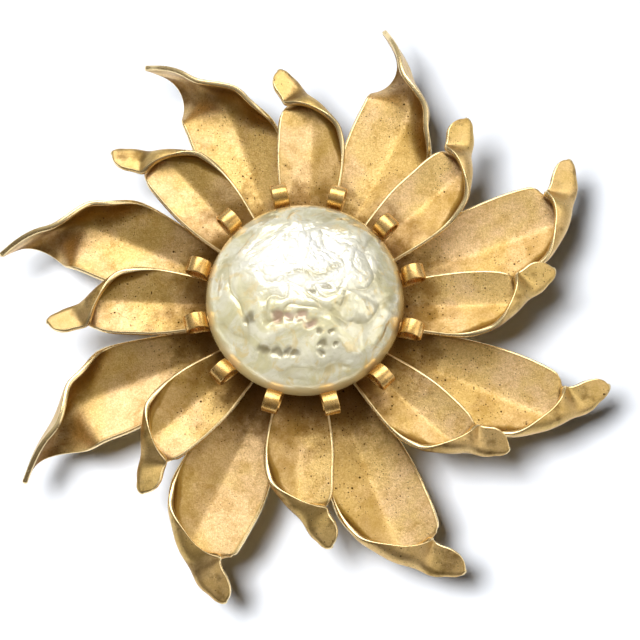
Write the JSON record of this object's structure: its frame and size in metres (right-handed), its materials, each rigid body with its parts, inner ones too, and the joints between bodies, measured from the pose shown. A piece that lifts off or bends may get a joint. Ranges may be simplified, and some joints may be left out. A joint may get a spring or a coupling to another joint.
{
  "type": "brooch",
  "caption": "Flower brooch: two layers of twisted gold-tone sheet petals and a collar of curled strips round a domed imitation pearl, with a bar pin and safety catch.",
  "frame": {"origin": "middle of the flat rear face that lies against the cloth, on the flower's axis", "axes": "+Z the way the flower faces, +Y up as worn, +X to the right seen from the front"},
  "size_m": [0.0785, 0.0772, 0.0251],
  "materials": {
    "satin_gold": "satin gold plate, fine grain, dark specks near the stone, polished cut edges",
    "bright_gold": "semi-bright gold plate",
    "pearl": "glossy wrinkled imitation baroque pearl, cream with a pearly lustre",
    "cement": "set jeweller's cement, matt",
    "pin_steel": "gold-washed hard steel wire"
  },
  "bodies": {
    "flower": {"pearl_cabochon": "pearl", "cement_bed": "cement", "pearl_cup": "bright_gold", "scroll_collar": "bright_gold", "front_petal_1": "satin_gold", "front_petal_2": "satin_gold", "front_petal_3": "satin_gold", "front_petal_4": "satin_gold", "front_petal_5": "satin_gold", "front_petal_6": "satin_gold", "front_petal_7": "satin_gold", "front_petal_8": "satin_gold", "front_hub": "satin_gold", "layer_spacer": "satin_gold", "rear_petal_1": "satin_gold", "rear_petal_2": "satin_gold", "rear_petal_3": "satin_gold", "rear_petal_4": "satin_gold", "rear_petal_5": "satin_gold", "rear_petal_6": "satin_gold", "rear_petal_7": "satin_gold", "rear_petal_8": "satin_gold", "rear_hub": "satin_gold", "centre_rivet": "bright_gold", "back_plate": "satin_gold", "pin_bar": "bright_gold", "hinge_bracket": "bright_gold", "hinge_rivet": "bright_gold", "catch_housing": "bright_gold"},
    "pin": {"pin_stem": "pin_steel"},
    "catch": {"catch_rotor": "bright_gold"}
  },
  "joints": [
    {"name": "pin_swing", "type": "hinge", "parent": "flower", "child": "pin", "pos_m": [-0.019, 0.007, -0.00595], "axis": [0, 1, 0], "range_deg": [0, 110]},
    {"name": "catch_turn", "type": "hinge", "parent": "flower", "child": "catch", "pos_m": [0.0194, 0.007, -0.00595], "axis": [1, 0, 0], "range_deg": [0, 100]}
  ]
}
